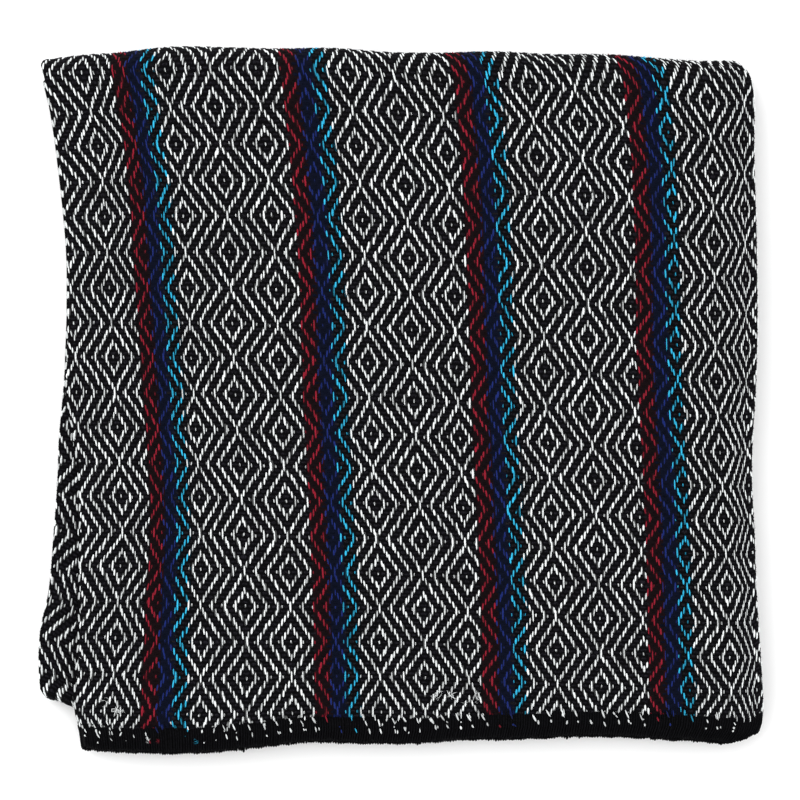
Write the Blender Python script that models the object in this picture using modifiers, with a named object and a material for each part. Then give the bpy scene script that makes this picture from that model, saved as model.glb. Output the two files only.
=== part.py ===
# A thick woven acrylic blanket, folded in thirds across its width and then in quarters along its length.
# Real size in metres, +Z up, lying on the surface at z = 0 with its two hems towards -Y.
# The fold that every quarter hangs from is towards +Y, and the panel that shows on top faces up.

import math
from collections import namedtuple

import bmesh
import bpy

NAME = "blanket"
MM = 0.001

# The cloth, and how far its layers lie apart in the folded stack
CLOTH_THICKNESS = 2.8 * MM
LAYER_GAP = 1.0 * MM
LAYER_PITCH = CLOTH_THICKNESS + LAYER_GAP
LAYERS_IN_PLY = 3
PLY_PITCH = LAYERS_IN_PLY * LAYER_PITCH
PLY_HALF = LAYER_PITCH + CLOTH_THICKNESS / 2

# The folded stack before its edges are drawn out of square
PACKET_WIDTH = 512 * MM
PACKET_LENGTH = 500 * MM
FLAP_TUCK = 6 * MM
SHORT_OF_HEM = 30 * MM
LOWER_HEM_REACH = 3 * MM

# Where the folds turn: the centre of each half turn, set in by its radius and what lies outside it.
# At the left one layer turns to the next, at the right one layer turns round another.
# At the top three ply pitches lie between the outer plies, at the lower fold there is one.
LEFT_TURN = -PACKET_WIDTH / 2 + LAYER_PITCH / 2 + CLOTH_THICKNESS / 2
RIGHT_TURN = PACKET_WIDTH / 2 - LAYER_PITCH - CLOTH_THICKNESS / 2
HEM_END = -PACKET_LENGTH / 2
TOP_TURN = PACKET_LENGTH / 2 - 3 * PLY_PITCH / 2 - PLY_HALF
LOWER_TURN = HEM_END + SHORT_OF_HEM + PLY_PITCH / 2 + PLY_HALF

# A panel is one flat run of the cloth between two folds, at a level counted in pitches
Panel = namedtuple("Panel", "name start end level")

WIDTH_PANELS = (
    Panel("flap_inside", RIGHT_TURN - FLAP_TUCK, LEFT_TURN, 0),
    Panel("face", LEFT_TURN, RIGHT_TURN, 1),
    Panel("flap_outside", RIGHT_TURN, LEFT_TURN + FLAP_TUCK, -1),
)

LENGTH_PANELS = (
    Panel("top_quarter", HEM_END, TOP_TURN, 3),
    Panel("bottom_quarter", TOP_TURN, LOWER_TURN, 0),
    Panel("lower_middle", LOWER_TURN, TOP_TURN, 1),
    Panel("upper_middle", TOP_TURN, HEM_END - LOWER_HEM_REACH, 2),
)

# Where mesh lines cross the flat runs, closer together beside the folds and the hems
WIDTH_LINES = tuple(place * MM for place in (-236, -215, -145, -72, 0, 72, 145, 215, 236))
LENGTH_LINES = tuple(place * MM for place in (-237, -225, -213, -200, -140, -70, 0, 70, 140, 205))
LEAST_RUN = 6 * MM

# Steps round the smallest half turn, and what each further pitch of its width adds
LEAST_TURN_STEPS = 4
TURN_STEPS_PER_PITCH = 2

# Side edges of the upper two plies and the lower two, from the top fold down to the hems
SideRow = namedtuple("SideRow", "y upper_left upper_right lower_left lower_right")

SIDE_EDGES = (
    SideRow(250 * MM, -260 * MM, 253 * MM, -260 * MM, 253 * MM),
    SideRow(180 * MM, -250 * MM, 255 * MM, -250 * MM, 255 * MM),
    SideRow(110 * MM, -244 * MM, 256 * MM, -244 * MM, 256 * MM),
    SideRow(40 * MM, -243 * MM, 256 * MM, -243 * MM, 255 * MM),
    SideRow(-30 * MM, -241 * MM, 255 * MM, -243 * MM, 253 * MM),
    SideRow(-100 * MM, -235 * MM, 256 * MM, -249 * MM, 251 * MM),
    SideRow(-170 * MM, -234 * MM, 259 * MM, -259 * MM, 250 * MM),
    SideRow(-240 * MM, -232 * MM, 260 * MM, -261 * MM, 250 * MM),
)

# Top fold and hem, from left to right
EndRow = namedtuple("EndRow", "x top hem")

END_EDGES = (
    EndRow(-240 * MM, 245 * MM, -250 * MM),
    EndRow(-160 * MM, 254 * MM, -252 * MM),
    EndRow(-80 * MM, 253 * MM, -249 * MM),
    EndRow(0 * MM, 250 * MM, -246 * MM),
    EndRow(80 * MM, 249 * MM, -244 * MM),
    EndRow(160 * MM, 247 * MM, -241 * MM),
    EndRow(240 * MM, 243 * MM, -243 * MM),
)

# Corners are drawn in by this share of the half side, over the last stretch before the corner
CORNER_PULL = 0.012
CORNER_POWER = 6

# The upper plies droop past the end of the lower ones, where nothing lies under them
DROOP_SLOPE = 0.4
DROOP_EASE = 5 * MM
DROOP_START = 10 * MM

# The stack is pressed a little lower beside its side folds, and its top is slightly uneven
EDGE_PRESS = 0.03
EDGE_PRESS_REACH = 22 * MM
SWELL = 0.018
SWELL_SPAN_X = 610 * MM
SWELL_SPAN_Y = 730 * MM
SWELL_TURN_X = 0.8
SWELL_TURN_Y = -0.5
STAGGER = 1.6 * MM
STAGGER_SPAN = 31 * MM

WOVEN_COLOUR = (0.16, 0.16, 0.17, 1.0)
WOVEN_ROUGHNESS = 0.92

# A place on a folded line: how far along, how high, and the two parts of the line's upward normal
Station = namedtuple("Station", "along height normal_along normal_up")


def smooth_step(value):
    value = min(max(value, 0.0), 1.0)
    return value * value * (3 - 2 * value)


def eased(value, ease):
    return (value + math.sqrt(value * value + ease * ease)) / 2


def read_edge(rows, where, column, value):
    # a smooth curve through one column of a table whose rows are evenly spaced
    first = getattr(rows[0], where)
    step = getattr(rows[1], where) - first
    place = min(max((value - first) / step, 0.0), len(rows) - 1.0)
    index = min(int(place), len(rows) - 2)
    share = place - index
    near = [getattr(rows[min(max(index + k, 0), len(rows) - 1)], column) for k in (-1, 0, 1, 2)]
    before, start, end, after = near
    slope_in = (end - before) / 2
    slope_out = (after - start) / 2
    bend_in = 3 * (end - start) - 2 * slope_in - slope_out
    bend_out = 2 * (start - end) + slope_in + slope_out
    return start + share * (slope_in + share * (bend_in + share * bend_out))


def fold_line(panels, pitch, lines):
    # walks the panels in turn, with a half turn from each to the next
    stations = []
    for number, panel in enumerate(panels):
        height = panel.level * pitch
        heading = 1 if panel.end > panel.start else -1
        low, high = sorted((panel.start, panel.end))
        crossed = [line for line in lines if low + LEAST_RUN < line < high - LEAST_RUN]
        for along in (panel.start, *sorted(crossed, reverse=heading < 0), panel.end):
            stations.append(Station(along, height, 0.0, heading))
        if number + 1 < len(panels):
            rise = panels[number + 1].level - panel.level
            stations += half_turn(panel, heading, rise, pitch)
    return stations


def half_turn(panel, heading, rise, pitch):
    # the stations strictly between one panel's end and the start of the next
    radius = abs(rise) * pitch / 2
    side = -1 if rise > 0 else 1
    middle = (panel.level + rise / 2) * pitch
    steps = LEAST_TURN_STEPS + TURN_STEPS_PER_PITCH * (abs(rise) - 1)
    stations = []
    for step in range(1, steps):
        angle = math.pi * step / steps
        along = panel.end + heading * radius * math.sin(angle)
        height = middle + side * radius * math.cos(angle)
        stations.append(Station(along, height, side * math.sin(angle), heading * math.cos(angle)))
    return stations


def settle(x, y, z):
    # draws the square stack out to the edges it really has, and lets its upper plies droop;
    # no two places in the stack ever meet, so layers that lie apart stay apart
    across = 2 * x / PACKET_WIDTH
    down = 2 * y / PACKET_LENGTH
    pull = CORNER_PULL * abs(across * down) ** CORNER_POWER
    upper = smooth_step((z - 2 * PLY_PITCH + LAYER_GAP) / LAYER_GAP)

    top = read_edge(END_EDGES, "x", "top", x)
    hem = read_edge(END_EDGES, "x", "hem", x)
    new_y = (top + hem) / 2 + (1 - pull) * down * (top - hem) / 2

    sides = {}
    for side in ("left", "right"):
        above = read_edge(SIDE_EDGES, "y", "upper_" + side, new_y)
        below = read_edge(SIDE_EDGES, "y", "lower_" + side, new_y)
        sides[side] = below + (above - below) * upper
    middle = (sides["left"] + sides["right"]) / 2
    half = (sides["right"] - sides["left"]) / 2
    new_x = middle + (1 - pull) * across * half
    new_x += STAGGER * math.sin(2 * math.pi * z / STAGGER_SPAN)

    base = CLOTH_THICKNESS / 2
    to_side = PACKET_WIDTH / 2 - abs(x)
    press = EDGE_PRESS * math.exp(-((to_side / EDGE_PRESS_REACH) ** 2))
    swell = SWELL * math.sin(2 * math.pi * new_x / SWELL_SPAN_X + SWELL_TURN_X)
    swell *= math.cos(2 * math.pi * new_y / SWELL_SPAN_Y + SWELL_TURN_Y)
    new_z = base + (z - base) * (1 - press + swell)

    droop = DROOP_SLOPE * eased(LOWER_TURN - DROOP_START - y, DROOP_EASE)
    return new_x, new_y, new_z - upper * droop


def woven_material():
    material = bpy.data.materials.new("woven_acrylic")
    material.use_nodes = True
    shader = material.node_tree.nodes["Principled BSDF"]
    shader.inputs["Base Color"].default_value = WOVEN_COLOUR
    shader.inputs["Roughness"].default_value = WOVEN_ROUGHNESS
    shader.inputs["Metallic"].default_value = 0.0
    return material


def folded_cloth(collection):
    # one flat grid of cloth, carried to its place in the folds, then given its thickness
    columns = fold_line(WIDTH_PANELS, LAYER_PITCH, WIDTH_LINES)
    rows = fold_line(LENGTH_PANELS, PLY_PITCH, LENGTH_LINES)
    bm = bmesh.new()
    bmesh.ops.create_grid(bm, x_segments=len(columns) - 1, y_segments=len(rows) - 1, size=1.0)
    for vertex in bm.verts:
        column = columns[round((vertex.co.x + 1) / 2 * (len(columns) - 1))]
        row = rows[round((vertex.co.y + 1) / 2 * (len(rows) - 1))]
        y = row.along + column.height * row.normal_along
        z = PLY_HALF + row.height + column.height * row.normal_up
        vertex.co = settle(column.along, y, z)
    spans = [sorted(vertex.co[axis] for vertex in bm.verts) for axis in (0, 1)]
    off_centre = [(span[0] + span[-1]) / 2 for span in spans]
    bmesh.ops.translate(bm, verts=bm.verts, vec=(-off_centre[0], -off_centre[1], 0.0))

    mesh = bpy.data.meshes.new(NAME)
    bm.to_mesh(mesh)
    bm.free()
    mesh.shade_smooth()
    mesh.materials.append(woven_material())
    cloth = bpy.data.objects.new(NAME, mesh)
    collection.objects.link(cloth)
    thickness = cloth.modifiers.new("thickness", "SOLIDIFY")
    thickness.thickness = CLOTH_THICKNESS
    thickness.offset = 0.0
    return cloth


def main():
    for old in list(bpy.data.objects):
        bpy.data.objects.remove(old, do_unlink=True)
    collection = bpy.data.collections.new("folded_blanket")
    bpy.context.scene.collection.children.link(collection)
    folded_cloth(collection)


main()
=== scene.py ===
# The folded acrylic blanket, dressed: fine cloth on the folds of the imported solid, raised yarns where
# the cloth shows, overlocked hems, loose warp ends and lint.
import math

import bmesh
import bpy
import numpy as np
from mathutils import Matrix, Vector


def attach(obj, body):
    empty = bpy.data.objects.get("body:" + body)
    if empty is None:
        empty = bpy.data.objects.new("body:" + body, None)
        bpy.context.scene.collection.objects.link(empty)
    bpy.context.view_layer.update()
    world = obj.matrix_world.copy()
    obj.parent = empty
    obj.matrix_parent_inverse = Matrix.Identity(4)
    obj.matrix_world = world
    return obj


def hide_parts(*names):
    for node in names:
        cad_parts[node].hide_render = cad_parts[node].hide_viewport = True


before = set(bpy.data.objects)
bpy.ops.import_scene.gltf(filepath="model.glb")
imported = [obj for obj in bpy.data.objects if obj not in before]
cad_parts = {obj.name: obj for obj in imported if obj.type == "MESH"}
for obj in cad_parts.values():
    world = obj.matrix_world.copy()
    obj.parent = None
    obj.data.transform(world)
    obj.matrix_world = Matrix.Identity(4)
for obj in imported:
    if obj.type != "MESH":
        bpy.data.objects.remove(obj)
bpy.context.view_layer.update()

mm = 0.001
chance = np.random.default_rng(57)

# the photograph's frame, with a pixel as a real size on the top panel
photo = {"size": 800, "pixel": 0.72 * mm, "middle": 400}


def fromPhoto(across, down):
    return (across - photo["middle"]) * photo["pixel"], (photo["middle"] - down) * photo["pixel"]


def inMm(columns):
    return {name: np.array(places) * mm for name, places in columns.items()}


# The folded cloth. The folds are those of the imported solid, at a finer step.
cloth = {
    "name": "blanket_cloth",
    "solidThickness": 2.8 * mm,
    "layerGap": 1.0 * mm,
    "thickness": 2.4 * mm,
    "packetWidth": 512 * mm,
    "packetLength": 500 * mm,
    "flapTuck": 6 * mm,
    "shortOfHem": 30 * mm,
    "lowerHemReach": 3 * mm,
    "flatSize": (1.52, 1.92),
    "layersInPly": 3,
    "plies": 4,
    "widthTurnSteps": 6,
    "lengthTurnSteps": 8,
    "turnStepsPerPitch": 3,
    "cornerPull": 0.008,
    "cornerPower": 6,
    "droopSlope": 0.4,
    "droopEase": 5 * mm,
    "droopStart": 10 * mm,
    "edgePress": 0.03,
    "edgePressReach": 22 * mm,
    "sideSag": (4.5 * mm, 6.5 * mm),
    "sideSagReach": 12 * mm,
    "swell": 0.018,
    "swellSpan": (610 * mm, 730 * mm),
    "swellTurn": (0.8, -0.5),
    "stagger": 1.6 * mm,
    "staggerSpan": 31 * mm,
}
layerPitch = cloth["solidThickness"] + cloth["layerGap"]
plyPitch = cloth["layersInPly"] * layerPitch
plyHalf = layerPitch + cloth["solidThickness"] / 2
leftTurn = -cloth["packetWidth"] / 2 + layerPitch / 2 + cloth["solidThickness"] / 2
rightTurn = cloth["packetWidth"] / 2 - layerPitch - cloth["solidThickness"] / 2
hemEnd = -cloth["packetLength"] / 2
topTurn = cloth["packetLength"] / 2 - (cloth["plies"] - 1) * plyPitch / 2 - plyHalf
lowerTurn = hemEnd + cloth["shortOfHem"] + plyPitch / 2 + plyHalf
topHeight = plyHalf + (cloth["plies"] - 1) * plyPitch + layerPitch

# each panel: where it starts and ends, its level in pitches, and the mesh's step along it
widthPanels = (
    ("flap inside", rightTurn - cloth["flapTuck"], leftTurn, 0, 16 * mm),
    ("face", leftTurn, rightTurn, 1, 7 * mm),
    ("flap outside", rightTurn, leftTurn + cloth["flapTuck"], -1, 16 * mm),
)
lengthPanels = (
    ("top quarter", hemEnd, topTurn, 3, 6.5 * mm),
    ("bottom quarter", topTurn, lowerTurn, 0, 13 * mm),
    ("lower middle", lowerTurn, topTurn, 1, 10 * mm),
    ("upper middle", topTurn, hemEnd - cloth["lowerHemReach"], 2, 13 * mm),
)

# the edges that the stack really has: its sides from the hems to the top fold, its ends from left to right
sideEdges = inMm({
    "y": (-250, -238, -222, -207, -170, -140, -100, -60, -30, 10, 60, 110, 180, 215, 230, 240, 250),
    "upperLeft": (-236, -238, -241, -240, -237, -236.5, -236, -236.5, -240, -246, -245, -245.5,
                  -253, -259, -263.5, -266, -262.5),
    "upperRight": (250.5, 257.5, 258.5, 257.5, 254.5, 252.5, 251, 249, 249.5, 252, 253, 252.5,
                   251, 251.5, 250, 246.5, 240),
    "lowerLeft": (-240, -246, -261, -266, -265.5, -259, -255.5, -252.5, -251.5, -248, -245, -245.5,
                  -253, -259, -263.5, -266, -262.5),
    "lowerRight": (240, 245, 250, 251, 252, 251, 250, 248.5, 249, 251, 252.5, 251.5,
                   250.5, 251.5, 250, 246.5, 240),
})
endEdges = inMm({
    "x": (-250, -225, -200, -160, -120, -80, -40, 0, 40, 80, 120, 160, 200, 228, 240, 249, 256),
    "top": (248.8, 251, 252, 256, 255.5, 254.5, 255, 252, 251.5, 252.5, 250.5, 250.5,
            247.8, 246.4, 247, 247.6, 249),
    "hem": (-252.5, -253, -253, -252.5, -248.5, -244.5, -245.5, -245.5, -243, -242.5, -240.5, -241.5,
            -243.5, -245.6, -247.4, -245.8, -241),
})
# how much further down the inner fold of the two lower plies lies, from left to right
lowerFold = inMm({
    "x": (-250, -242, -234, -222, -150, 0, 248),
    "drop": (3, -0.7, -5.5, -8.5, -9, 0, 0),
})


def smoothRead(knots, values, where):
    # a smooth curve through rising knots, read at many places at once and level past its ends
    where = np.asarray(where, float)
    shape = (len(knots), where.size)
    knots = np.broadcast_to(np.asarray(knots, float).reshape(len(knots), -1), shape)
    values = np.broadcast_to(np.asarray(values, float).reshape(len(values), -1), shape)
    place = np.clip(where.ravel(), knots[0], knots[-1])
    index = (place >= knots[1:-1]).sum(axis=0)
    slopes = np.empty(shape)
    slopes[1:-1] = (values[2:] - values[:-2]) / (knots[2:] - knots[:-2])
    slopes[0] = (values[1] - values[0]) / (knots[1] - knots[0]) / 2
    slopes[-1] = (values[-1] - values[-2]) / (knots[-1] - knots[-2]) / 2

    def pick(rows, step):
        return np.take_along_axis(rows, (index + step)[None], 0)[0]

    start, span = pick(knots, 0), pick(knots, 1) - pick(knots, 0)
    share = (place - start) / span
    rise = pick(values, 1) - pick(values, 0)
    slopeIn, slopeOut = pick(slopes, 0) * span, pick(slopes, 1) * span
    bendIn, bendOut = 3 * rise - 2 * slopeIn - slopeOut, slopeIn + slopeOut - 2 * rise
    read = pick(values, 0) + share * (slopeIn + share * (bendIn + share * bendOut))
    return read.reshape(where.shape)


def smoothStep(value):
    value = np.clip(value, 0, 1)
    return value * value * (3 - 2 * value)


def foldLine(panels, facing, pitch, tightSteps):
    # walks the panels with a half turn between them; travel is the way gone along the cloth,
    # counted so that on the facing panel it is the place itself
    stations, reached = [], {}
    travel = 0.0
    for number, (name, start, end, level, step) in enumerate(panels):
        heading = math.copysign(1, end - start)
        reached[name] = travel
        if name == facing:
            offset = start - travel
        count = max(2, math.ceil(abs(end - start) / step))
        for share in np.linspace(0, 1, count + 1):
            way = share * abs(end - start)
            stations.append((start + heading * way, level * pitch, 0.0, heading, travel + way))
        travel += abs(end - start)
        if number + 1 < len(panels):
            rise = panels[number + 1][3] - level
            radius, side = abs(rise) * pitch / 2, -math.copysign(1, rise)
            steps = tightSteps + cloth["turnStepsPerPitch"] * (abs(rise) - 1)
            for angle in np.linspace(0, math.pi, steps + 1)[1:-1]:
                sine, cosine = math.sin(angle), math.cos(angle)
                height = (level + rise / 2) * pitch + side * radius * cosine
                along = end + heading * radius * sine
                stations.append((along, height, side * sine, heading * cosine, travel + radius * angle))
            travel += math.pi * radius
    line = dict(zip(("along", "height", "normalAlong", "normalUp", "travel"), np.array(stations).T))
    line["travel"] = line["travel"] + offset
    return line, {name: start + offset for name, start in reached.items()}


# soft troughs and ridges of the top: from and to in the photograph, half width, and rise
softCreases = (
    ((70, 150), (95, 420), 16 * mm, -0.9 * mm),
    ((150, 60), (205, 330), 20 * mm, 0.8 * mm),
    ((330, 60), (355, 500), 26 * mm, -0.7 * mm),
    ((560, 120), (600, 620), 30 * mm, 0.7 * mm),
    ((110, 640), (430, 700), 14 * mm, -0.8 * mm),
    ((470, 690), (720, 700), 12 * mm, -0.7 * mm),
    ((690, 90), (725, 420), 18 * mm, -0.8 * mm),
    ((90, 80), (380, 66), 9 * mm, -0.7 * mm),
    ((430, 72), (715, 92), 9 * mm, -0.8 * mm),
)


def creaseRelief(x, y):
    relief = 0
    for start, end, reach, rise in softCreases:
        (fromX, fromY), (toX, toY) = fromPhoto(*start), fromPhoto(*end)
        length = math.hypot(toX - fromX, toY - fromY)
        along = ((x - fromX) * (toX - fromX) + (y - fromY) * (toY - fromY)) / length ** 2
        beyond = length * np.maximum(0, np.maximum(-along, along - 1))
        beside = ((x - fromX) * (toY - fromY) - (y - fromY) * (toX - fromX)) / length
        relief = relief + rise * np.exp(-(beside ** 2 + beyond ** 2) / reach ** 2)
    return relief


def settle(x, y, z):
    # draws the square stack out to the edges it really has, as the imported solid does
    across, down = 2 * x / cloth["packetWidth"], 2 * y / cloth["packetLength"]
    keep = 1 - cloth["cornerPull"] * np.abs(across * down) ** cloth["cornerPower"]
    upper = smoothStep((z - cloth["plies"] / 2 * plyPitch + cloth["layerGap"]) / cloth["layerGap"])
    top, hem = (smoothRead(endEdges["x"], endEdges[end], x) for end in ("top", "hem"))
    hem = hem + (1 - upper) * smoothRead(lowerFold["x"], lowerFold["drop"], x)
    newY = (top + hem) / 2 + keep * down * (top - hem) / 2
    edge = {}
    for side in ("Left", "Right"):
        below = smoothRead(sideEdges["y"], sideEdges["lower" + side], newY)
        above = smoothRead(sideEdges["y"], sideEdges["upper" + side], newY)
        edge[side] = below + (above - below) * upper
    newX = (edge["Left"] + edge["Right"]) / 2 + keep * across * (edge["Right"] - edge["Left"]) / 2
    newX = newX + cloth["stagger"] * np.sin(2 * math.pi * z / cloth["staggerSpan"])

    base = cloth["solidThickness"] / 2
    stack = cloth["plies"] * plyPitch
    fromSide = cloth["packetWidth"] / 2 - np.abs(x)
    press = cloth["edgePress"] * np.exp(-(fromSide / cloth["edgePressReach"]) ** 2)
    sag = np.where(x < 0, *cloth["sideSag"]) / stack
    press = press + sag * np.exp(-(fromSide / cloth["sideSagReach"]) ** 2)
    (spanX, spanY), (turnX, turnY) = cloth["swellSpan"], cloth["swellTurn"]
    swell = cloth["swell"] * np.sin(2 * math.pi * newX / spanX + turnX)
    swell = swell * np.cos(2 * math.pi * newY / spanY + turnY)
    newZ = base + (z - base) * (1 - press + swell + creaseRelief(newX, newY) / stack)
    past = lowerTurn - cloth["droopStart"] - y
    droop = cloth["droopSlope"] * (past + np.sqrt(past ** 2 + cloth["droopEase"] ** 2)) / 2
    return np.stack((newX, newY, newZ - upper * droop), axis=-1)


# The pattern. Ends are counted to the right and picks downwards, from a point of the weave's repeat.
weave = {
    "endPitch": 2.11 * mm,
    "pickPitch": 3.2 * mm,
    "endRepeat": 30,
    "pickRepeat": 16,
    "lean": 0.16,
    "twillRepeat": 4,
    "stripeRepeat": 57,
    "stripeStart": -7,
    "picksHidden": 8,
    "hiddenFrom": 80 * mm,
    "hiddenOver": 350 * mm,
}
# places on the cloth are found by rounds, which take these shares of what is missing
search = {"patternRounds": 24, "acrossShare": 0.6, "alongShare": 0.8, "placeRounds": 8}
# where the left edges of the four red stripes lie, and one place past each side, row by row
stripePlaces = {
    "end": (-105, -90, -75, -64.5, -50, -36, -7.5, 21, 49.5, 78, 106.5, 122, 135, 142, 150, 163.5),
    "down": (30, 90, 150, 210, 270, 335, 400, 470, 540, 600, 660, 730),
    "across": (
        (-14.5, -3, 13.5, 25, 35.5, 40.5, 44, 46.5, 45, 41, 38, 34),
        (29.5, 41.5, 55, 62, 69, 73.5, 76.5, 79.5, 80.5, 76.5, 74, 71),
        (74.5, 86, 99, 104.5, 108.5, 112.5, 115.5, 120, 122.5, 118, 115, 111.5),
        (104, 115, 124.5, 130.5, 134, 139, 143.5, 148.5, 150, 145.5, 143, 139.5),
        (147, 154, 162.5, 169.5, 173, 177, 181, 185.5, 187.5, 186, 186, 184),
        (190, 194.5, 203, 209, 212.5, 215, 218, 222.5, 225.5, 227, 228, 227.5),
        (276.5, 282.5, 289, 294.5, 298.5, 301, 303, 307, 310.5, 313, 314, 315),
        (363.5, 368.5, 375, 380, 383, 385, 387.5, 391, 395, 397, 398, 399),
        (450.5, 455, 460.5, 464.5, 467, 469.5, 471.5, 475, 478.5, 481, 482, 483),
        (535, 539.5, 545.5, 549.5, 551.5, 553, 555, 558.5, 561.5, 564.5, 566, 567),
        (619, 624, 630.5, 634, 635.5, 636, 639, 642.5, 645.5, 647, 648.5, 651),
        (665.5, 670.5, 676, 679, 680.5, 682, 684, 688, 691, 693, 694.5, 697.5),
        (701.5, 707, 712.5, 714, 715, 715.5, 717.5, 721.5, 725.5, 728, 730.5, 733),
        (722, 726.5, 729, 730, 731, 731.5, 733, 736, 739.5, 742.5, 745, 747),
        (740, 744.5, 744.5, 745, 746, 746.5, 746.5, 747, 750, 754, 756, 757.5),
        (759.5, 764, 766, 766.5, 767, 767, 766.5, 766.5, 770, 774.5, 776.5, 778.5),
    ),
}
# where rows of diamonds lie, counted in half repeats from the topmost whole one
rowPlaces = {
    "halfRow": (-1, 0, 1, 2, 4, 6, 8, 10, 12, 14, 16, 17, 18, 20),
    "across": (60, 130, 200, 280, 360, 450, 540, 630, 730),
    "down": (
        (35, 34.5, 31, 31, 36, 42.5, 49.5, 54.5, 66),
        (73.5, 72.5, 69, 69, 74, 80.5, 86.5, 91, 103),
        (113, 110, 106.5, 106.5, 110.5, 116, 121, 127, 139),
        (147.5, 145, 144, 144, 146.5, 153, 157, 162.5, 174),
        (218, 216.5, 215.5, 216, 219.5, 224.5, 229, 234, 244),
        (288.5, 288, 287.5, 290, 291.5, 296, 301, 306.5, 314),
        (356.5, 357.5, 358, 360, 362, 366.5, 371.5, 376, 382),
        (427, 427.5, 429, 431.5, 434, 437.5, 442.5, 447.5, 452.5),
        (495, 497, 498, 501, 503, 507, 512.5, 516.5, 521),
        (565.5, 566, 569, 572, 573, 576.5, 581.5, 585.5, 588.5),
        (636.5, 638.5, 642, 642, 642, 645, 650, 653.5, 658),
        (674.5, 675.5, 679, 677.5, 676.5, 679, 683.5, 688, 691.5),
        (710.5, 711, 715, 713, 711.5, 714, 717.5, 722, 725),
        (781.5, 783, 787, 785, 783, 785, 788, 792, 795),
    ),
}


def threading(end):
    half = weave["endRepeat"] / 2
    return abs((end + half) % weave["endRepeat"] - half)


def treadling(pick):
    half = weave["pickRepeat"] / 2
    return abs((pick + half) % weave["pickRepeat"] - half)


def floatPhase(thread, crossed):
    # how far a place lies from the middle of its float, from minus two crossings to two
    repeat = weave["twillRepeat"]
    return (crossed - thread + (repeat - 1) / 2) % repeat - repeat / 2


def patternAt(x, y):
    # the end and the pick that lie at a place on the top panel
    across = np.ravel(x) / photo["pixel"] + photo["middle"]
    down = photo["middle"] - np.ravel(y) / photo["pixel"]
    stripes = [smoothRead(stripePlaces["down"], row, down) for row in stripePlaces["across"]]
    rows = [smoothRead(rowPlaces["across"], row, across) for row in rowPlaces["down"]]
    end = smoothRead(np.array(stripes), stripePlaces["end"], across)
    halfRow = smoothRead(np.array(rows), rowPlaces["halfRow"], down)
    return end.reshape(x.shape), (halfRow * weave["pickRepeat"] / 2).reshape(x.shape)


columns, _ = foldLine(widthPanels, "face", layerPitch, cloth["widthTurnSteps"])
rows, panelAlong = foldLine(lengthPanels, "top quarter", plyPitch, cloth["lengthTurnSteps"])
fullLength = rows["travel"][-1] - rows["travel"][0]


def squarePlace(column, row):
    y = row["along"] + column["height"] * row["normalAlong"]
    z = plyHalf + row["height"] + column["height"] * row["normalUp"]
    return column["along"] + 0 * y, y, z


def layOut():
    # every mesh line's crossing: its place, its upward normal and its end and pick
    column = {name: values[None, :] for name, values in columns.items()}
    row = {name: values[:, None] for name, values in rows.items()}
    place = settle(*squarePlace(column, row))
    middle = (place.min(axis=(0, 1)) + place.max(axis=(0, 1))) / 2
    shift = np.array((middle[0], middle[1], 0))
    place -= shift
    normal = np.cross(np.gradient(place, axis=1), np.gradient(place, axis=0))
    normal /= np.linalg.norm(normal, axis=-1, keepdims=True)

    nearX = np.clip(column["travel"], leftTurn, rightTurn) + 0 * row["travel"]
    nearY = np.clip(row["travel"], hemEnd, topTurn) + 0 * column["travel"]
    top = settle(nearX, nearY, topHeight + 0 * nearX) - shift
    end, pick = patternAt(top[..., 0], top[..., 1])
    end = end + (column["travel"] - nearX) / weave["endPitch"]
    pick = pick - (row["travel"] - nearY) / weave["pickPitch"]
    hidden = smoothStep((row["travel"] - topTurn - weave["hiddenFrom"]) / weave["hiddenOver"])
    pick = pick - weave["picksHidden"] * hidden
    return {"place": place, "normal": normal, "end": end, "pick": pick}


laid = layOut()
print("cloth laid out", laid["end"].shape)


def readSheet(name, across, along):
    # reads one of the sheet's fields between its mesh lines, at travel across and along the cloth
    spots = []
    for lines, where in ((columns["travel"], across), (rows["travel"], along)):
        index = np.clip(np.searchsorted(lines, where) - 1, 0, len(lines) - 2)
        spots.append((index, (where - lines[index]) / (lines[index + 1] - lines[index])))
    (column, shareX), (row, shareY) = spots
    field = laid[name]
    if field.ndim == 3:
        shareX, shareY = shareX[..., None], shareY[..., None]
    near = field[row, column] * (1 - shareX) + field[row, column + 1] * shareX
    far = field[row + 1, column] * (1 - shareX) + field[row + 1, column + 1] * shareX
    return near * (1 - shareY) + far * shareY


def travelOf(end, pick):
    # the way across and along the cloth at which an end crosses a pick
    across, along = end * weave["endPitch"], -pick * weave["pickPitch"]
    for _ in range(search["patternRounds"]):
        missing = (end - readSheet("end", across, along)) * weave["endPitch"]
        across = across + search["acrossShare"] * missing
        missing = (pick - readSheet("pick", across, along)) * weave["pickPitch"]
        along = along - search["alongShare"] * missing
    return across, along


def travelTo(across, down):
    # the way across and along the cloth to a place of the photograph, on the top panel
    x, y = fromPhoto(np.asarray(across, float), np.asarray(down, float))
    gone, along = x, y
    for _ in range(search["placeRounds"]):
        reached = readSheet("place", gone, along)
        gone = np.clip(gone + x - reached[..., 0], leftTurn, rightTurn)
        along = np.clip(along + y - reached[..., 1], hemEnd, topTurn)
    return gone, along


def aboveSheet(across, along, lift):
    normal = readSheet("normal", across, along)
    normal /= np.linalg.norm(normal, axis=-1, keepdims=True)
    return readSheet("place", across, along) + normal * lift[..., None]


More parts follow.
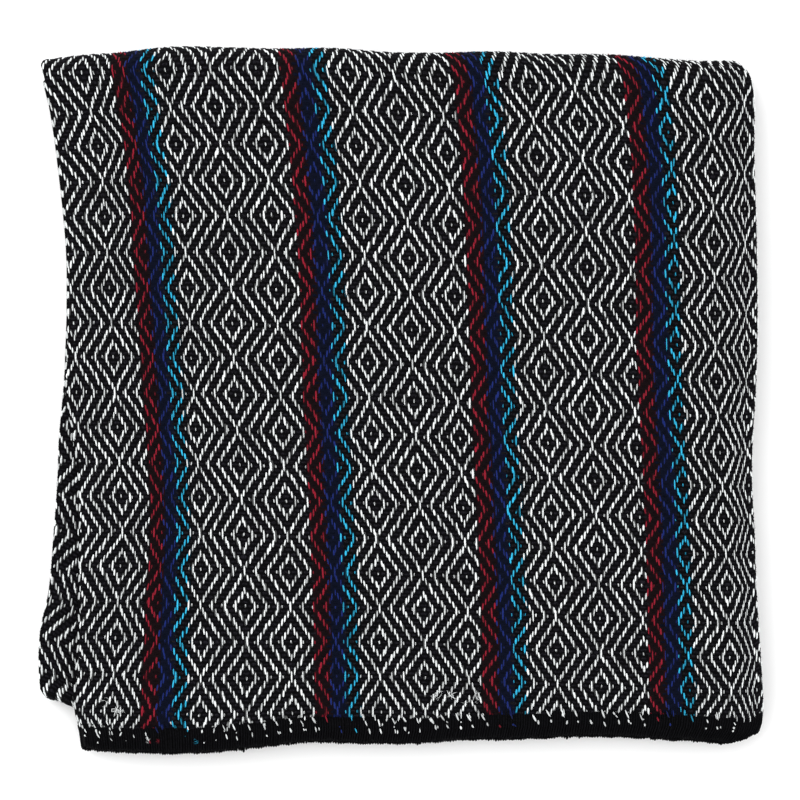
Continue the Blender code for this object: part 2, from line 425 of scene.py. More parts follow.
# Finishes. A Value is a number that varies over a surface; working with it adds Math nodes.
class Value:
    def __init__(self, finish, socket):
        self.finish, self.socket = finish, socket

    def maths(self, operation, *values):
        inputs = dict(enumerate(values))
        return self.finish.add("ShaderNodeMath", {"operation": operation}, inputs)

    def __add__(self, other):
        return self.maths("ADD", self, other)

    def __radd__(self, other):
        return self.maths("ADD", other, self)

    def __sub__(self, other):
        return self.maths("SUBTRACT", self, other)

    def __rsub__(self, other):
        return self.maths("SUBTRACT", other, self)

    def __mul__(self, other):
        return self.maths("MULTIPLY", self, other)

    def __rmul__(self, other):
        return self.maths("MULTIPLY", other, self)

    def __truediv__(self, other):
        return self.maths("DIVIDE", self, other)

    def __mod__(self, other):
        return self.maths("FLOORED_MODULO", self, other)

    def __pow__(self, other):
        return self.maths("POWER", self, other)

    def __gt__(self, other):
        return self.maths("GREATER_THAN", self, other)

    def __lt__(self, other):
        return self.maths("LESS_THAN", self, other)

    def __abs__(self):
        return self.maths("ABSOLUTE", self)

    def floor(self):
        return self.maths("FLOOR", self)

    def sign(self):
        return self.maths("SIGN", self)

    def cosine(self):
        return self.maths("COSINE", self)

    def root(self):
        return self.maths("SQRT", self)

    def atLeast(self, other):
        return self.maths("MAXIMUM", self, other)

    def atMost(self, other):
        return self.maths("MINIMUM", self, other)


# every finish here is matt
matt = {"sheenRoughness": 0.5, "specular": 0.04}


class Finish:
    def __init__(self, name, roughness, sheen=0.0):
        self.material = bpy.data.materials.new(name)
        self.material.use_nodes = True
        self.tree = self.material.node_tree
        self.shader = self.tree.nodes["Principled BSDF"]
        self.shader.inputs["Roughness"].default_value = roughness
        self.shader.inputs["Sheen Weight"].default_value = sheen
        self.shader.inputs["Sheen Roughness"].default_value = matt["sheenRoughness"]
        self.shader.inputs["Specular IOR Level"].default_value = matt["specular"]

    def add(self, kind, settings=None, inputs=None, output=0):
        node = self.tree.nodes.new(kind)
        for name, setting in (settings or {}).items():
            if name == "stops":
                self.setStops(node.color_ramp, setting)
            else:
                setattr(node, name, setting)
        for name, value in (inputs or {}).items():
            if isinstance(value, Value):
                self.tree.links.new(value.socket, node.inputs[name])
            else:
                node.inputs[name].default_value = value
        return Value(self, node.outputs[output])

    def setStops(self, ramp, stops):
        # bands of plain colour, each from its stop to the next
        ramp.interpolation = "CONSTANT"
        while len(ramp.elements) < len(stops):
            ramp.elements.new(1)
        for element, (place, colour) in zip(ramp.elements, stops):
            element.position, element.color = place, (*colour, 1)

    def mix(self, share, colour, other):
        inputs = {"Factor": share}
        for slot, value in ((6, colour), (7, other)):  # the Mix node's sockets for two colours
            inputs[slot] = value if isinstance(value, Value) else (*value, 1)
        return self.add("ShaderNodeMix", {"data_type": "RGBA"}, inputs, 2)

    def noise(self, scale, detail=2.0, coordinates=None):
        if coordinates is None:
            coordinates = self.add("ShaderNodeTexCoord", output="Object")
        inputs = {"Scale": scale, "Detail": detail, "Vector": coordinates}
        return self.add("ShaderNodeTexNoise", {}, inputs)

    def attribute(self, name, output="Fac"):
        return self.add("ShaderNodeAttribute", {"attribute_name": name}, output=output)

    def combine(self, x, y):
        return self.add("ShaderNodeCombineXYZ", {}, {0: x, 1: y})

    def split(self, vector):
        return [self.add("ShaderNodeSeparateXYZ", {}, {0: vector}, axis) for axis in range(3)]

    def colour(self, value):
        self.tree.links.new(value.socket, self.shader.inputs["Base Color"])

    def relief(self, height, depth):
        bump = self.add("ShaderNodeBump", {}, {"Height": height, "Distance": depth})
        self.tree.links.new(bump.socket, self.shader.inputs["Normal"])


yarnColours = {
    "white": (0.90, 0.93, 0.93),
    "black": (0.0016, 0.0015, 0.0020),
    "red": (0.2850, 0.0100, 0.0260),
    "blue": (0.0086, 0.0200, 0.1450),
    "turquoise": (0.0320, 0.4800, 0.7600),
    "black_among_red": (0.0058, 0.0028, 0.0036),
    "black_among_blue": (0.0026, 0.0038, 0.0110),
    "overlock": (0.0012, 0.0012, 0.0015),
}
# what the darkest fibres of each colour come to, as a share of it; black yarn has lighter fibres, partly
# real tone and partly painted sheen on its fuzz
fibreToneAndSheen = {
    "white": 0.30,
    "black": 10.0,
    "overlock": 5.0,
    "black_among_red": 0.3,
    "black_among_blue": 0.3,
    "others": 0.45,
}
stripeEnds = (("red", 0), ("blue", 5), ("turquoise", 10), ("white", 15))


def groundOf(colour):
    # the black cross yarn takes a tint where it lies among red and blue ends
    tinted = "black_among_" + colour
    return tinted if tinted in yarnColours else "black"


# The finish of the whole cloth. Its widths are in ends and picks, its noises a scale and a reach.
wovenLook = {
    "roughness": 0.9,
    "endWander": (0.9, 0.22),
    "pickWander": (0.7, 0.20),
    "warpHalfWidth": 0.42,
    "weftHalfWidth": 0.55,
    "crown": 0.9,
    "dashHalfWidth": 0.36,
    "dashStraight": 0.5,
    "hiddenByYarns": 0.92,
    "fleckScale": 2.6,
    "fleckLeast": 0.15,
    "fleckMore": 0.35,
    # painted shade: how far the warp is darkened where it sinks under the weft
    "sunkPaintedShade": 0.5,
    "fibreScale": 5.0,
    "fibreStretch": (2.2, 0.9),
    "fibreRelief": 0.25,
    "reliefDepth": 0.55 * mm,
}


def wovenFinish():
    # a point twill of warp over weft, drawn from the end and pick at each place, with painted shade where
    # the warp sinks
    look = wovenLook
    finish = Finish("woven_acrylic", look["roughness"])
    end, pick, _ = finish.split(finish.add("ShaderNodeUVMap", {"uv_map": "weave"}))
    flat = finish.combine(end, pick)
    (endScale, endReach), (pickScale, pickReach) = look["endWander"], look["pickWander"]
    end = end + (finish.noise(endScale, coordinates=flat) - 0.5) * endReach
    pick = pick + (finish.noise(pickScale, coordinates=flat) - 0.5) * pickReach
    column, row = (end + 0.5).floor(), (pick + 0.5).floor()

    half = weave["endRepeat"] / 2
    slope = ((column + half) % weave["endRepeat"] - half).sign()
    warpPhase = floatPhase(threading(column), treadling(pick))
    weftPhase = floatPhase(threading(end), treadling(row))
    beside = end - column - weave["lean"] * warpPhase * slope
    above = pick - row
    perCrossing = 2 * math.pi / weave["twillRepeat"]

    def rounded(offset, halfWidth):
        return (1 - (offset / halfWidth) ** 2).atLeast(0).root()

    warp = rounded(beside, look["warpHalfWidth"]) + look["crown"] * (warpPhase * perCrossing).cosine()
    weft = rounded(above, look["weftHalfWidth"]) - look["crown"] * (weftPhase * perCrossing).cosine()
    past = (abs(warpPhase) - look["dashStraight"]).atLeast(0)
    dash = 1 - (beside / look["dashHalfWidth"]) ** 2 - (past / look["dashHalfWidth"]) ** 2
    shows = (dash > 0) * (1 - look["hiddenByYarns"] * finish.attribute("covered"))
    place = (column - weave["stripeStart"]) % weave["stripeRepeat"] / weave["stripeRepeat"]

    def byStripe(names):
        starts = [first / weave["stripeRepeat"] for _, first in stripeEnds]
        stops = list(zip(starts, [yarnColours[name] for name in names]))
        return finish.add("ShaderNodeValToRGB", {"stops": stops}, {0: place})

    warpColour = byStripe([name for name, _ in stripeEnds])
    fleck = finish.noise(look["fleckScale"], 3.0, flat)
    # black fibres fleck the warp, and painted shade darkens it towards black where it sinks under the weft
    paintedShadeShare = (1 - warp / (1 + look["crown"])).atLeast(0).atMost(1)
    for darker in (look["fleckLeast"] + look["fleckMore"] * fleck, look["sunkPaintedShade"] * paintedShadeShare):
        warpColour = finish.mix(darker, warpColour, yarnColours["black"])
    ground = byStripe([groundOf(name) for name, _ in stripeEnds])
    colour = finish.mix(shows, ground, warpColour)

    banded = finish.attribute("fromHem") < hem["depth"] - hem["floatsUnder"]
    finish.colour(finish.mix(banded, colour, yarnColours["overlock"]))
    stretchAcross, stretchAlong = look["fibreStretch"]
    stretched = finish.combine(end * stretchAcross, pick * stretchAlong)
    fibres = finish.noise(look["fibreScale"], 3.0, stretched)
    finish.relief(warp.atLeast(weft) * (1 - banded) + look["fibreRelief"] * fibres, look["reliefDepth"])
    return finish.material


# The finish of a single yarn: how far its darker fibres follow a fine grain, patches, the yarn's own
# luck and its plies, and how much is taken off before any shows
yarnLook = {
    "all": {
        "roughness": 0.88,
        "pliesAlong": 1.6,
        "pliesAcross": 0.32,
        "patchScale": 140,
        "patch": 0.20,
        "plies": 0.08,
        "plyRelief": 0.6,
        "grainRelief": 0.8,
        "reliefDepth": 0.12 * mm,
    },
    # black and overlock yarn have no sheen of their own; their lighter grain is partly painted sheen on the
    # fuzz
    "dark": {"sheen": 0.0, "grainScale": 900, "grain": 2.2, "luck": 0.15, "takenOff": 0.90},
    "white": {"sheen": 0.05, "grainScale": 1500, "grain": 0.70, "luck": 0.55, "takenOff": 0.32},
    "coloured": {"sheen": 0.05, "grainScale": 1500, "grain": 0.70, "luck": 0.95, "takenOff": 0.32},
}


def yarnFinish(name):
    # one spun and plied yarn: its plies wind round it, with fine fibres and uneven dye
    kind = "dark" if name.startswith("black") or name == "overlock" else "coloured"
    look = {**yarnLook["all"], **yarnLook["white" if name == "white" else kind]}
    finish = Finish(name + "_acrylic_yarn", look["roughness"], look["sheen"])
    across, along, luck = finish.split(finish.attribute("yarn", "Vector"))
    grain = finish.noise(look["grainScale"], 3.0)
    patch = finish.noise(look["patchScale"])
    turns = along * look["pliesAlong"] + across * look["pliesAcross"]
    plies = (turns * (2 * math.pi)).cosine()
    shade = tuple(part * fibreToneAndSheen.get(name, fibreToneAndSheen["others"]) for part in yarnColours[name])
    darker = look["grain"] * grain + look["patch"] * patch + look["luck"] * luck + look["plies"] * plies
    share = (darker - look["takenOff"]).atLeast(0).atMost(1)
    finish.colour(finish.mix(share, yarnColours[name], shade))
    finish.relief(look["plyRelief"] * plies + look["grainRelief"] * grain, look["reliefDepth"])
    return finish.material


# Making of meshes
def link(item):
    bpy.context.scene.collection.objects.link(item)


def keep(name, mesh, material):
    mesh.name = name
    mesh.materials.clear()
    mesh.materials.append(material)
    mesh.shade_smooth()
    piece = bpy.data.objects.new(name, mesh)
    link(piece)
    return piece


def asMesh(name, form):
    mesh = bpy.data.meshes.new(name)
    form.to_mesh(mesh)
    form.free()
    return mesh


def readPoints(mesh):
    points = np.empty(len(mesh.vertices) * 3)
    mesh.vertices.foreach_get("co", points)
    return points.reshape(-1, 3)


def movePoints(mesh, points):
    mesh.vertices.foreach_set("co", np.ascontiguousarray(points, dtype=np.float32).ravel())
    mesh.update()


def repeated(mesh, count):
    # a joined mesh of so many copies, one after the other, from an Array
    holder = bpy.data.objects.new("array", mesh)
    link(holder)
    array = holder.modifiers.new("array", "ARRAY")
    array.count = count
    array.use_relative_offset = False
    joined = bpy.data.meshes.new_from_object(holder.evaluated_get(bpy.context.evaluated_depsgraph_get()))
    bpy.data.objects.remove(holder)
    bpy.data.meshes.remove(mesh)
    return joined


def strand(sides, cuts):
    # a closed round bar along Z from -1 to 1, cut across at each place; one of its edges is uppermost
    bar = bmesh.new()
    bmesh.ops.create_cone(bar, cap_ends=True, segments=sides, radius1=1, radius2=1, depth=2)
    for place in cuts:
        parts = bar.verts[:] + bar.edges[:] + bar.faces[:]
        bmesh.ops.bisect_plane(bar, geom=parts, plane_co=(0, 0, place), plane_no=(0, 0, 1))
    return asMesh("strand", bar)


def tapered(way, tip, power):
    # how thick a strand is along its way from -1 to 1, with this share left at its tips
    return tip + (1 - tip) * np.sqrt(1 - np.abs(way) ** power)


def turnOutwards(mesh):
    form = bmesh.new()
    form.from_mesh(mesh)
    bmesh.ops.recalc_face_normals(form, faces=form.faces)
    form.to_mesh(mesh)
    form.free()


def noteNumber(mesh, name, values):
    attribute = mesh.attributes.new(name, "FLOAT", "POINT")
    attribute.data.foreach_set("value", np.asarray(values, dtype=np.float32))


def makeStrands(settings, count):
    # so many strands as one mesh, with each point's place in its strand: beside, up and along it
    mesh = repeated(strand(settings["sides"], settings["cuts"]), count)
    beside, up, way = np.moveaxis(readPoints(mesh).reshape(count, -1, 3), -1, 0)
    return mesh, beside, up, way


def layYarn(name, finishName, mesh, where, noted):
    # lays strands on the cloth, where says across, along and how high, and notes what their finish reads
    movePoints(mesh, aboveSheet(*where).reshape(-1, 3))
    attribute = mesh.attributes.new("yarn", "FLOAT_VECTOR", "POINT")
    values = np.stack(np.broadcast_arrays(*noted), axis=-1)
    attribute.data.foreach_set("vector", values.astype(np.float32).ravel())
    turnOutwards(mesh)
    return keep(name, mesh, finishes[finishName])


def makeCloth():
    acrossCount, alongCount = len(columns["travel"]), len(rows["travel"])
    sheet = bmesh.new()
    bmesh.ops.create_grid(sheet, x_segments=acrossCount - 1, y_segments=alongCount - 1, size=1)
    mesh = asMesh(cloth["name"], sheet)
    flat = readPoints(mesh)
    column = np.rint((flat[:, 0] + 1) / 2 * (acrossCount - 1)).astype(int)
    row = np.rint((flat[:, 1] + 1) / 2 * (alongCount - 1)).astype(int)
    movePoints(mesh, laid["place"][row, column])

    corner = np.empty(len(mesh.loops), dtype=int)
    mesh.loops.foreach_get("vertex_index", corner)
    pattern = np.stack((laid["end"][row, column], laid["pick"][row, column]), axis=-1)
    mesh.uv_layers.new(name="weave").data.foreach_set("uv", pattern[corner].ravel())
    noteNumber(mesh, "covered", isShown(columns["travel"][column], rows["travel"][row]))
    gone = rows["travel"][row] - rows["travel"][0]
    noteNumber(mesh, "fromHem", np.minimum(gone, fullLength - gone))

    piece = keep(cloth["name"], mesh, wovenFinish())
    wall = piece.modifiers.new("thickness", "SOLIDIFY")
    wall.thickness = cloth["thickness"]
    wall.offset = 0.0
    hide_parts("blanket")
    return piece


# Raised yarns on the panels that show. Widths and ways are in ends and picks, a taper is the share
# left at the tips and a power, and a jitter is how far luck moves a yarn.
floats = {
    "pairing": 0.105,
    "sink": 0.42 * mm,
    "taper": (0.14, 2.6),
    "twist": 0.5,
    "archJitter": 0.12,
    "leastWidth": 0.5,
    "singleWidth": 0.66,
    "wearPower": 3,
    # floats over a single pick are drawn darker by this share and up to this much more
    "singleFloatDarkening": 0.2,
    "singleFloatDarkeningMore": 0.6,
    "inTwoPieces": ("white", "black"),
    "warp": {
        "colours": ("red", "blue", "turquoise", "white"),
        "halfWidth": 0.27,
        "overhang": -0.06,
        "radius": 0.62 * mm,
        "arch": 0.55 * mm,
        "sides": 4,
        "cuts": (-0.62, 0, 0.62),
        "jitter": {"length": 0.10, "way": 0.12, "width": 0.20, "side": 0.125},
    },
    "weft": {
        "colours": ("black", "black_among_red", "black_among_blue"),
        "halfWidth": 0.43,
        "overhang": 0.10,
        "radius": 0.62 * mm,
        "arch": 0.30 * mm,
        "sides": 4,
        "cuts": (-0.45, 0.45),
        "jitter": {"length": 0.06, "way": 0.0, "width": 0.18, "side": 0.06},
    },
}


def runsOf(up):
    # the first and last place of every unbroken run down each column
    edge = np.zeros((1, up.shape[1]), dtype=bool)
    framed = np.vstack((edge, up, edge)).astype(int)
    steps = np.diff(framed, axis=0).T
    column, first = np.nonzero(steps == 1)
    _, last = np.nonzero(steps == -1)
    return column, first, last - 1


def layFloats(name, finishName, kind, centre, length, slope):
    # centre holds the end and pick of each float's middle, length how many crossings it passes over
    yarn, count = floats[kind], len(length)
    mesh, beside, up, along = makeStrands(yarn, count)
    taper = tapered(along, *floats["taper"])
    luck = chance.normal(0, 1, (6, count, 1))
    single = (length == 1)[:, None]
    jitter = yarn["jitter"]
    reach = (length[:, None] / 2 + yarn["overhang"]) * (1 + jitter["length"] * luck[0])
    lengthwise = along * reach + jitter["way"] * luck[5]
    width = yarn["halfWidth"] * np.maximum(1 + jitter["width"] * luck[1], floats["leastWidth"])
    if kind == "warp":
        width = width * np.where(single, floats["singleWidth"], 1)
    sideways = beside * taper * width + jitter["side"] * (luck[2] + floats["twist"] * luck[3] * along)
    lift = cloth["thickness"] / 2 - floats["sink"] + yarn["radius"] * taper * up
    lift = lift + yarn["arch"] * (1 - along ** 2) * (1 + floats["archJitter"] * luck[4])
    if kind == "warp":
        paired = np.where(centre[0] % 2 == 0, 1, -1) * floats["pairing"]
        end = (centre[0] + paired)[:, None] + sideways + weave["lean"] * lengthwise * slope[:, None]
        pick = centre[1][:, None] + lengthwise
    else:
        end = centre[0][:, None] + lengthwise
        pick = centre[1][:, None] + sideways
    # each float dims at random, and floats over a single pick are drawn darker still
    dimming = chance.random((count, 1)) ** floats["wearPower"]
    singleFloatDarkening = floats["singleFloatDarkening"] + floats["singleFloatDarkeningMore"] * chance.random((count, 1))
    dimming = np.clip(dimming + np.where(single, singleFloatDarkening, 0), 0, 1)
    where = (*travelOf(end, pick), lift)
    return layYarn(name, finishName, mesh, where, (beside * taper, lengthwise, dimming))


def colourOfEnd(end):
    place = (end - weave["stripeStart"]) % weave["stripeRepeat"]
    return np.searchsorted([first for _, first in stripeEnds], place, side="right") - 1


# The overlock sewing on both cut ends
hem = {
    "depth": 17.5 * mm,
    "depthJitter": 0.9 * mm,
    "depthWander": 1.3 * mm,
    "wanderPitch": 7.3 * mm,
    "floatsUnder": 1.8 * mm,
    "stitchPitch": 1.9 * mm,
    "threadRadius": 0.62 * mm,
    "wrapRadius": 1.75 * mm,
    "sides": 3,
    "slant": 0.5 * mm,
    "wander": 0.12 * mm,
    "cuts": (-0.70, -0.16, -0.07, 0.0, 0.07, 0.16, 0.45, 0.75),
    "bunchPitch": 3.1 * mm,
    "bunchReach": 0.6 * mm,
    "flatness": 1.7,
    "taper": (0.35, 8),
    "liftJitter": 0.08,
    "shade": 0.5,
    "shadeJitter": 0.2,
}
# Warp ends that stick out of the upper hem in tufts, and strays from one place of the photograph to another
tufts = {
    "pitch": 9.7 * mm,
    "fromLeftTurn": 9 * mm,
    "fromRightTurn": 14 * mm,
    "placeJitter": 0.8 * mm,
    "jog": 0.55 * mm,
    "rise": 0.9 * mm,
    "lean": 0.5 * mm,
    "reach": 0.8 * mm,
    "sizeJitter": 0.2,
    "rarely": 0.35,
    "whiteRarelyBefore": 195,
    "radius": 0.62 * mm,
    "strayRadius": 0.8,
    "lift": 0.62 * mm,
    "arch": 0.45 * mm,
    "sides": 4,
    "cuts": (-0.5, 0, 0.5),
    "taper": (0.35, 3),
    # each strand: from and to in mm, sideways and in from the edge, how often it shows, how thick it is
    "left": (
        ((-0.9, 15.8), (0.6, 11.4), 0.90, 0.9),
        ((2.2, 15.2), (1.5, 12.2), 0.60, 0.7),
        ((0.6, 8.6), (1.7, 5.4), 0.85, 0.8),
        ((2.4, 7.6), (2.9, 5.6), 0.50, 0.8),
        ((0.1, 11.0), (0.4, 9.2), 0.40, 0.6),
    ),
    "right": (
        ((-1.1, 16.8), (0.9, 11.6), 0.90, 0.9),
        ((-0.4, 16.4), (0.4, 13.6), 0.35, 0.7),
        ((1.6, 13.6), (2.9, 11.6), 0.40, 0.7),
        ((2.2, 9.4), (3.0, 7.2), 0.97, 1.1),
        ((3.2, 8.9), (3.8, 7.4), 0.50, 0.8),
    ),
    "strays": (
        ((78.5, 719), (81, 724)),
        ((81.5, 725), (83, 729)),
        ((84, 729), (86, 733)),
        ((84, 735), (85, 737)),
        ((91, 719), (93, 724)),
        ((93.5, 724), (95.5, 728)),
        ((96, 729), (96.5, 733)),
        ((99, 731), (100, 734)),
        ((97, 742), (97.5, 744)),
        ((101, 719), (100, 724)),
        ((106, 720), (108, 725)),
        ((109, 727), (110, 730)),
        ((111, 731), (112, 735)),
        ((119, 727), (120, 731)),
        ((121, 722), (121.5, 726)),
        ((121, 732), (119, 736)),
        ((145, 732), (145.5, 736)),
        ((146, 736), (148.5, 742)),
        ((170, 721), (171, 724)),
        ((187, 726), (188, 730)),
    ),
}


def layStrands(name, finishName, settings, across, along, radius, lift, bend=0):
    # straight or bowed strands on the cloth; across and along hold where each starts and ends
    count = len(across[0])
    mesh, beside, up, way = makeStrands(settings, count)
    share = (way + 1) / 2
    startX, endX, startY, endY = (np.asarray(place)[:, None] for place in (*across, *along))
    length = np.hypot(endX - startX, endY - startY)
    sideX, sideY = (endY - startY) / length, -(endX - startX) / length
    radius, lift, bend = (np.reshape(value, (-1, 1)) for value in (radius, lift, bend))
    taper = tapered(way, *settings["taper"])
    offset = beside * radius * taper + bend * (1 - way ** 2)
    x = startX + (endX - startX) * share + sideX * offset
    y = startY + (endY - startY) * share + sideY * offset
    height = cloth["thickness"] / 2 + lift + settings["arch"] * (1 - way ** 2) + up * radius * taper
    noted = (beside, way * length / weave["pickPitch"], chance.random((count, 1)))
    return layYarn(name, finishName, mesh, (x, y, height), noted)


def wandering(places, pitch, reach):
    # an offset for each place, drawn at even steps and read straight in between
    knots = np.arange(columns["travel"][0], columns["travel"][-1] + pitch, pitch)
    return np.interp(places, knots, chance.normal(0, reach, len(knots)))[:, None]


def sewHem(name, edge, inward):
    # thread loops side by side, each from inside the edge, round it and back on the other face
    start, stop = columns["travel"][0], columns["travel"][-1]
    places = np.arange(start + hem["stitchPitch"] / 2, stop, hem["stitchPitch"])
    mesh, beside, up, way = makeStrands(hem, len(places))
    luck = chance.normal(0, 1, (4, len(places), 1))
    turn = math.pi / 2 * hem["wrapRadius"]
    ragged = wandering(places, hem["wanderPitch"], hem["depthWander"])
    depth = hem["depth"] + ragged + hem["depthJitter"] * luck[0]
    gone = way * (depth + turn)
    angle = np.clip(gone / hem["wrapRadius"], -math.pi / 2, math.pi / 2)
    radius = hem["wrapRadius"] + up * hem["threadRadius"]
    taper = tapered(way, *hem["taper"])
    bunch = wandering(places, hem["bunchPitch"], hem["bunchReach"])
    fromEdge = np.maximum(np.abs(gone) - turn, 0) - (radius + bunch) * np.cos(angle)
    settled = smoothStep(np.abs(gone) / depth)
    lift = radius * np.sin(angle) - np.sign(way) * settled * (hem["wrapRadius"] - cloth["thickness"] / 2)
    lift = lift * (1 + hem["liftJitter"] * luck[3])
    across = places[:, None] + beside * hem["threadRadius"] * hem["flatness"] * taper
    across = across + hem["slant"] * way + hem["wander"] * (luck[1] + luck[2] * way ** 2)
    along = edge + inward * fromEdge
    shade = np.clip(hem["shade"] + hem["shadeJitter"] * luck[3], 0, 1)
    where = (np.clip(across, start, stop), along, lift)
    return layYarn(name, "overlock", mesh, where, (beside, gone / weave["pickPitch"], shade))


def layTufts():
    start, stop = leftTurn + tufts["fromLeftTurn"], rightTurn - tufts["fromRightTurn"]
    places = np.arange(start, stop, tufts["pitch"])
    places = places + chance.normal(0, tufts["placeJitter"], len(places))
    whiteRarelyBefore, _ = fromPhoto(tufts["whiteRarelyBefore"], 0)
    found = {colour: [] for colour in ("white", "red", "blue", "turquoise")}
    for place in places:
        end = readSheet("end", np.array(place), np.array(hemEnd + hem["depth"]))
        colour = stripeEnds[int(colourOfEnd(end))][0]
        rare = colour != "white" or place < whiteRarelyBefore
        for starts, ends, often, thick in tufts["left" if place < 0 else "right"]:
            (fromX, fromY), (toX, toY) = np.array(starts) * mm, np.array(ends) * mm
            jog, rise = chance.normal(0, tufts["jog"]), chance.normal(0, tufts["rise"])
            size = chance.normal(1, tufts["sizeJitter"])
            lean, reach = chance.normal(0, tufts["lean"]), chance.normal(0, tufts["reach"])
            if chance.random() < often * (tufts["rarely"] if rare else 1):
                across = (place + fromX + jog - lean, place + toX + jog)
                along = (hemEnd + fromY + rise + reach, hemEnd + toY + rise)
                found[colour].append((*across, *along, thick * size * tufts["radius"]))
    for (fromX, fromDown), (toX, toDown) in tufts["strays"]:
        across, along = travelTo((fromX, toX), (fromDown, toDown))
        found["white"].append((*across, *along, tufts["strayRadius"] * tufts["radius"]))
    pieces = []
    for colour, strands in found.items():
        if strands:
            *across, startY, endY, radius = np.array(strands).T
            name = f"{colour}_warp_ends"
            piece = layStrands(name, colour, tufts, across, (startY, endY), radius, tufts["lift"])
            pieces.append(piece)
    return pieces


def makeHems():
    upper = sewHem("upper_hem_overlock", rows["travel"][0], 1)
    lower = sewHem("lower_hem_overlock", rows["travel"][-1], -1)
    return [upper, lower, *layTufts()]


# Lint and frayed yarn on the top: fibres lie anywhere in a spot, frays from one place to another,
# all in the photograph
lint = {
    "radius": 0.13 * mm,
    "length": 3.4 * mm,
    "lengths": (0.5, 1.3),
    "scatter": 0.6,
    "bow": 0.9 * mm,
    "lift": 1.0 * mm,
    "lifts": (0.4, 1.2),
    "arch": 0.3 * mm,
    "sides": 3,
    "cuts": (-0.7, -0.35, 0, 0.35, 0.7),
    "taper": (0.35, 3),
    "fibres": (
        ((436, 695), (4, 3), 7, "white"),
        ((452, 695), (4, 3), 7, "white"),
        ((465, 700), (6, 2), 8, "black"),
        ((477, 697), (2, 4), 6, "white"),
        ((118, 710), (4, 3), 10, "white"),
        ((105, 706), (4, 6), 6, "white"),
        ((77, 668), (1.5, 14), 5, "white"),
        ((490, 261), (2, 2), 9, "blue"),
        ((146, 739), (1, 3), 5, "white"),
        ((157, 741), (1, 2), 7, "red"),
        ((196, 742), (1, 2), 6, "turquoise"),
    ),
    "frays": (
        ((431, 698), (437, 691), 1.1, 0.30),
        ((434, 694), (443, 691), -0.9, 0.30),
        ((436, 698), (442, 693), 0.8, 0.20),
        ((447, 690), (456, 698), 1.2, 0.34),
        ((449, 697), (457, 692), -0.8, 0.22),
        ((451, 689), (456, 700), 0.7, 0.24),
        ((473, 700), (478, 692), -1.0, 0.30),
        ((475, 694), (480, 700), 0.6, 0.24),
        ((477, 690), (477, 700), 0.8, 0.20),
        ((461, 702), (471, 699), 1.4, 0.16),
        ((111, 711), (119, 709), 0.5, 0.30),
        ((114, 716), (119, 705), -0.5, 0.30),
        ((115, 706), (121, 714), 0.4, 0.28),
        ((112, 708), (121, 711), -0.6, 0.24),
        ((117, 712), (123, 709), 0.4, 0.22),
    ),
}


def layLint():
    found = {}
    for place, spread, count, colour in lint["fibres"]:
        scattered = chance.normal(0, lint["scatter"], (2, count))
        across, along = travelTo(*(np.array(place)[:, None] + np.array(spread)[:, None] * scattered))
        turn = chance.uniform(0, math.pi, count)
        length = lint["length"] * chance.uniform(*lint["lengths"], count)
        overX, overY = length * np.cos(turn) / 2, length * np.sin(turn) / 2
        bow = lint["bow"] * chance.normal(0, 1, count)
        radius = np.full(count, lint["radius"])
        fibres = (across - overX, across + overX, along - overY, along + overY, bow, radius)
        found.setdefault(colour, []).append(fibres)
    starts, ends, bow, radius = (np.array(column) for column in zip(*lint["frays"]))
    (fromX, fromY), (toX, toY) = travelTo(*starts.T), travelTo(*ends.T)
    found["white"].append((fromX, toX, fromY, toY, bow * mm, radius * mm))
    pieces = []
    for colour, strands in found.items():
        fromX, toX, fromY, toY, bow, radius = np.concatenate(strands, axis=1)
        lift = lint["lift"] * chance.uniform(*lint["lifts"], len(bow))
        name = f"{colour}_lint"
        pieces.append(layStrands(name, colour, lint, (fromX, toX), (fromY, toY), radius, lift, bow))
    return pieces


# the parts of the cloth whose face shows from above: the top panel with the top fold,
# and a strip of the lower half beside its left fold
shown = {
    "pastLeftTurn": 6 * mm,
    "pastRightTurn": 12 * mm,
    "pastTopTurn": 46 * mm,
    "stripWidth": 34 * mm,
    "stripBefore": 14 * mm,
    "stripLength": 250 * mm,
}
lowerStart = panelAlong["lower middle"]
shownParts = (
    ((leftTurn - shown["pastLeftTurn"], rightTurn + shown["pastRightTurn"]),
     (hemEnd + hem["depth"] - hem["floatsUnder"], topTurn + shown["pastTopTurn"])),
    ((leftTurn - shown["pastLeftTurn"], leftTurn + shown["stripWidth"]),
     (lowerStart - shown["stripBefore"], lowerStart + shown["stripLength"])),
)


def isShown(across, along):
    inside = np.zeros(np.shape(across), dtype=bool)
    for (left, right), (low, high) in shownParts:
        inside |= (across > left) & (across < right) & (along > low) & (along < high)
    return inside


def gatherFloats():
    ends, picks = laid["end"], laid["pick"]
    end = np.arange(math.floor(ends.min()), math.ceil(ends.max()) + 1)
    pick = np.arange(math.floor(picks.min()), math.ceil(picks.max()) + 1)
    step = treadling(pick)[:, None] - threading(end)[None, :]
    up = step % weave["twillRepeat"] < weave["twillRepeat"] / 2
    gathered = {}
    for kind, raised in (("warp", up), ("weft", ~up.T)):
        column, first, last = runsOf(raised)
        middle, length = (first + last) / 2, last - first + 1
        place = (end[column], pick[0] + middle) if kind == "warp" else (end[0] + middle, pick[column])
        across, along = travelOf(*(part.astype(float) for part in place))
        inside = isShown(across, along)
        gathered[kind] = [part[inside].astype(float) for part in (*place, length)]
    return gathered


def leaning(place, repeat):
    # 1 on the first half of a repeat, -1 on the second, and 0 at the points between them
    return np.sign(np.round(np.sin(2 * math.pi * place / repeat), 6))


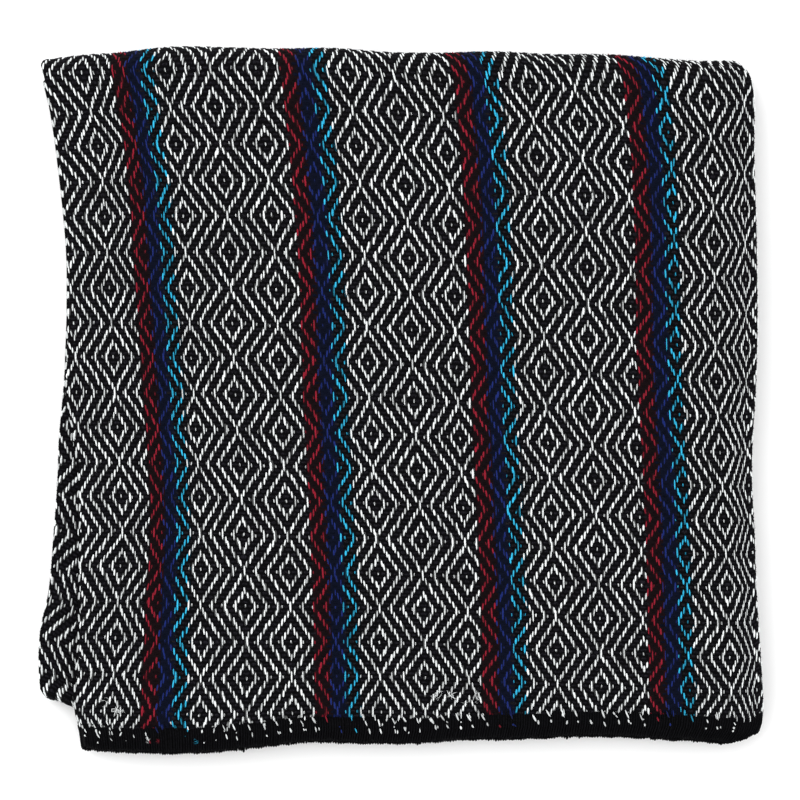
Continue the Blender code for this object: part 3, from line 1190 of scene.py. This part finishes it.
def makeFloats():
    gathered = gatherFloats()
    pieces = []
    for kind in ("warp", "weft"):
        end, pick, length = gathered[kind]
        slope = leaning(end, weave["endRepeat"]) * leaning(pick, weave["pickRepeat"])
        stripes = [colour if kind == "warp" else groundOf(colour) for colour, _ in stripeEnds]
        colourOfFloat = np.array(stripes)[colourOfEnd(np.rint(end))]
        for colour in floats[kind]["colours"]:
            chosen = np.flatnonzero(colourOfFloat == colour)
            parts = 2 if colour in floats["inTwoPieces"] else 1
            for number, share in enumerate(np.array_split(chosen, parts)):
                name = f"{colour}_{kind}_floats_{number + 1}"
                centre = (end[share], pick[share])
                pieces.append(layFloats(name, colour, kind, centre, length[share], slope[share]))
    return pieces


# Camera, light and floor
view = {
    "height": 3.0,
    "topOfStack": 45 * mm,
    "sensor": 36,
}


def setCamera():
    data = bpy.data.cameras.new("camera")
    data.sensor_width = view["sensor"]
    frameWidth = photo["size"] * photo["pixel"]
    data.lens = view["sensor"] * (view["height"] - view["topOfStack"]) / frameWidth
    camera = bpy.data.objects.new("camera", data)
    camera.location = (0, 0, view["height"])
    link(camera)
    bpy.context.scene.camera = camera


lights = {
    "overhead": {"place": (-0.9, 0.9, 2.1), "size": 2.6, "power": 42},
    "fill": {"place": (1.4, -0.8, 1.9), "size": 2.4, "power": 9},
}
studio = {
    "sky": (1, 1, 1, 1),
    "skyStrength": 1.10,
    "floorSize": 6,
    "floorColour": (0.93, 0.93, 0.93, 1),
    "floorRoughness": 0.9,
}


def setLights():
    for name, light in lights.items():
        data = bpy.data.lights.new(name, "AREA")
        data.size, data.energy = light["size"], light["power"]
        lamp = bpy.data.objects.new(name, data)
        lamp.location = light["place"]
        lamp.rotation_euler = (-Vector(light["place"])).to_track_quat("-Z", "Y").to_euler()
        link(lamp)
    world = bpy.data.worlds.new("studio")
    world.use_nodes = True
    sky = world.node_tree.nodes["Background"]
    sky.inputs["Color"].default_value = studio["sky"]
    sky.inputs["Strength"].default_value = studio["skyStrength"]
    bpy.context.scene.world = world
    bpy.context.scene.view_settings.view_transform = "Standard"


def setFloor():
    plane = bmesh.new()
    bmesh.ops.create_grid(plane, x_segments=1, y_segments=1, size=studio["floorSize"])
    finish = Finish("studio_floor", studio["floorRoughness"])
    finish.shader.inputs["Base Color"].default_value = studio["floorColour"]
    floor = keep("studio_floor", asMesh("studio_floor", plane), finish.material)


setCamera()
setLights()
setFloor()
print("camera, light and floor set")

finishes = {name: yarnFinish(name) for name in yarnColours}
blanketCloth = makeCloth()
print("cloth made", len(blanketCloth.data.polygons), "quads")
onCloth = makeFloats() + makeHems() + layLint()
for piece in onCloth:
    print(piece.name, sum(len(face.vertices) - 2 for face in piece.data.polygons), "triangles")

for piece in (blanketCloth, *onCloth):
    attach(piece, "root")
